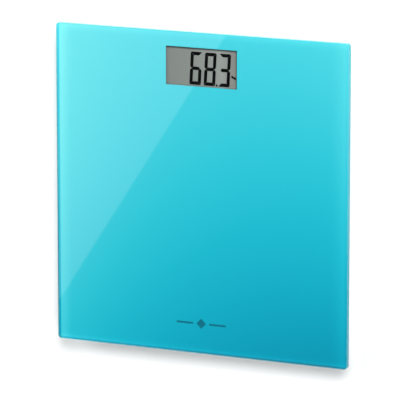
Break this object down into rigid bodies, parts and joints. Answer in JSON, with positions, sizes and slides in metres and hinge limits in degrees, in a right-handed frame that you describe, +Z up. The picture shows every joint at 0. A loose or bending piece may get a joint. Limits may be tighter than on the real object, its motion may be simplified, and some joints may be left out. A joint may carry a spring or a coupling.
{
  "type": "digital glass platform scale",
  "caption": "Flat square glass personal scale with a turquoise back print, an LCD readout near one edge, a shallow base tray, and feet on strain-gauge load cells.",
  "frame": {"origin": "on the floor under the middle of the platform", "axes": "+Z up out of the glass, +Y towards the display edge, +X to the reader's right"},
  "size_m": [0.28, 0.285, 0.022],
  "materials": {
    "clear_glass": "polished, faint green tint",
    "turquoise_print": "even coat seen through the glass",
    "emblem_ink": "dark teal ink seen through the glass",
    "foam_tape": "closed-cell foam tape",
    "tray_plastic": "fine spark texture",
    "seat_plastic": "as moulded",
    "foot_plastic": "fine spark texture",
    "pad_rubber": "matt",
    "cell_steel": "stamped, nickel plated",
    "button_steel": "turned",
    "screw_steel": "zinc plated",
    "contact_steel": "nickel-plated spring strip",
    "coin_can": "drawn, bright",
    "gauge_sealant": "silicone",
    "lcd_glass": "grey-green polariser",
    "reflector_film": "pearl film",
    "zebra_rubber": "striped silicone",
    "board_laminate": "green solder mask",
    "chip_resin": "black resin drop",
    "component_body": "ceramic and moulded parts",
    "switch_plastic": "black",
    "stem_plastic": "red-brown",
    "key_plastic": "grey, satin",
    "label_film": "silver sticker, blank",
    "lead_sleeve": "soft PVC"
  },
  "bodies": {
    "scale_body": {"platform_glass": "clear_glass", "colour_print": "turquoise_print", "emblem_print": "emblem_ink", "bonding_tape": "foam_tape", "base_tray": "tray_plastic", "cell_screws": "screw_steel", "lcd_panel": "lcd_glass", "lcd_reflector": "reflector_film", "lcd_holder": "seat_plastic", "zebra_strip": "zebra_rubber", "main_board": "board_laminate", "board_screws": "screw_steel", "controller_blob": "chip_resin", "board_components": "component_body", "coin_cell": "coin_can", "battery_contact_negative": "contact_steel", "battery_contact_positive": "contact_steel", "unit_switch": "switch_plastic", "rating_label": "label_film", "load_cell_display_left": "cell_steel", "cell_seat_display_left": "seat_plastic", "strain_gauge_display_left": "gauge_sealant", "cell_leads_display_left": "lead_sleeve", "load_cell_display_right": "cell_steel", "cell_seat_display_right": "seat_plastic", "strain_gauge_display_right": "gauge_sealant", "cell_leads_display_right": "lead_sleeve", "load_cell_heel_left": "cell_steel", "cell_seat_heel_left": "seat_plastic", "strain_gauge_heel_left": "gauge_sealant", "cell_leads_heel_left": "lead_sleeve", "load_cell_heel_right": "cell_steel", "cell_seat_heel_right": "seat_plastic", "strain_gauge_heel_right": "gauge_sealant", "cell_leads_heel_right": "lead_sleeve"},
    "foot_unit_display_left": {"foot_display_left": "foot_plastic", "foot_pad_display_left": "pad_rubber", "load_button_display_left": "button_steel"},
    "foot_unit_display_right": {"foot_display_right": "foot_plastic", "foot_pad_display_right": "pad_rubber", "load_button_display_right": "button_steel"},
    "foot_unit_heel_left": {"foot_heel_left": "foot_plastic", "foot_pad_heel_left": "pad_rubber", "load_button_heel_left": "button_steel"},
    "foot_unit_heel_right": {"foot_heel_right": "foot_plastic", "foot_pad_heel_right": "pad_rubber", "load_button_heel_right": "button_steel"},
    "battery_door": {"battery_door": "tray_plastic"},
    "battery_latch": {"battery_latch": "tray_plastic"},
    "unit_button": {"unit_button": "key_plastic", "switch_plunger": "stem_plastic"}
  },
  "joints": [
    {"name": "foot_slide_display_left", "type": "slide", "parent": "scale_body", "child": "foot_unit_display_left", "axis": [0, 0, 1], "range_m": [0, 0.0005], "stiffness_N_per_m": 740000, "deforming": ["load_cell_display_left"]},
    {"name": "foot_slide_display_right", "type": "slide", "parent": "scale_body", "child": "foot_unit_display_right", "axis": [0, 0, 1], "range_m": [0, 0.0005], "stiffness_N_per_m": 740000, "deforming": ["load_cell_display_right"]},
    {"name": "foot_slide_heel_left", "type": "slide", "parent": "scale_body", "child": "foot_unit_heel_left", "axis": [0, 0, 1], "range_m": [0, 0.0005], "stiffness_N_per_m": 740000, "deforming": ["load_cell_heel_left"]},
    {"name": "foot_slide_heel_right", "type": "slide", "parent": "scale_body", "child": "foot_unit_heel_right", "axis": [0, 0, 1], "range_m": [0, 0.0005], "stiffness_N_per_m": 740000, "deforming": ["load_cell_heel_right"]},
    {"name": "battery_door_hinge", "type": "hinge", "parent": "scale_body", "child": "battery_door", "pos_m": [0, 0.095, 0.0066], "axis": [1, 0, 0], "range_deg": [0, 85], "deforming": ["battery_latch"]},
    {"name": "battery_latch_flex", "type": "hinge", "parent": "battery_door", "child": "battery_latch", "pos_m": [0, 0.0649, 0.0093], "axis": [1, 0, 0], "range_deg": [0, 16], "stiffness_Nm_per_rad": 0.05},
    {"name": "unit_button_press", "type": "slide", "parent": "scale_body", "child": "unit_button", "axis": [0, 0, 1], "range_m": [0, 0.00035], "stiffness_N_per_m": 5000}
  ]
}
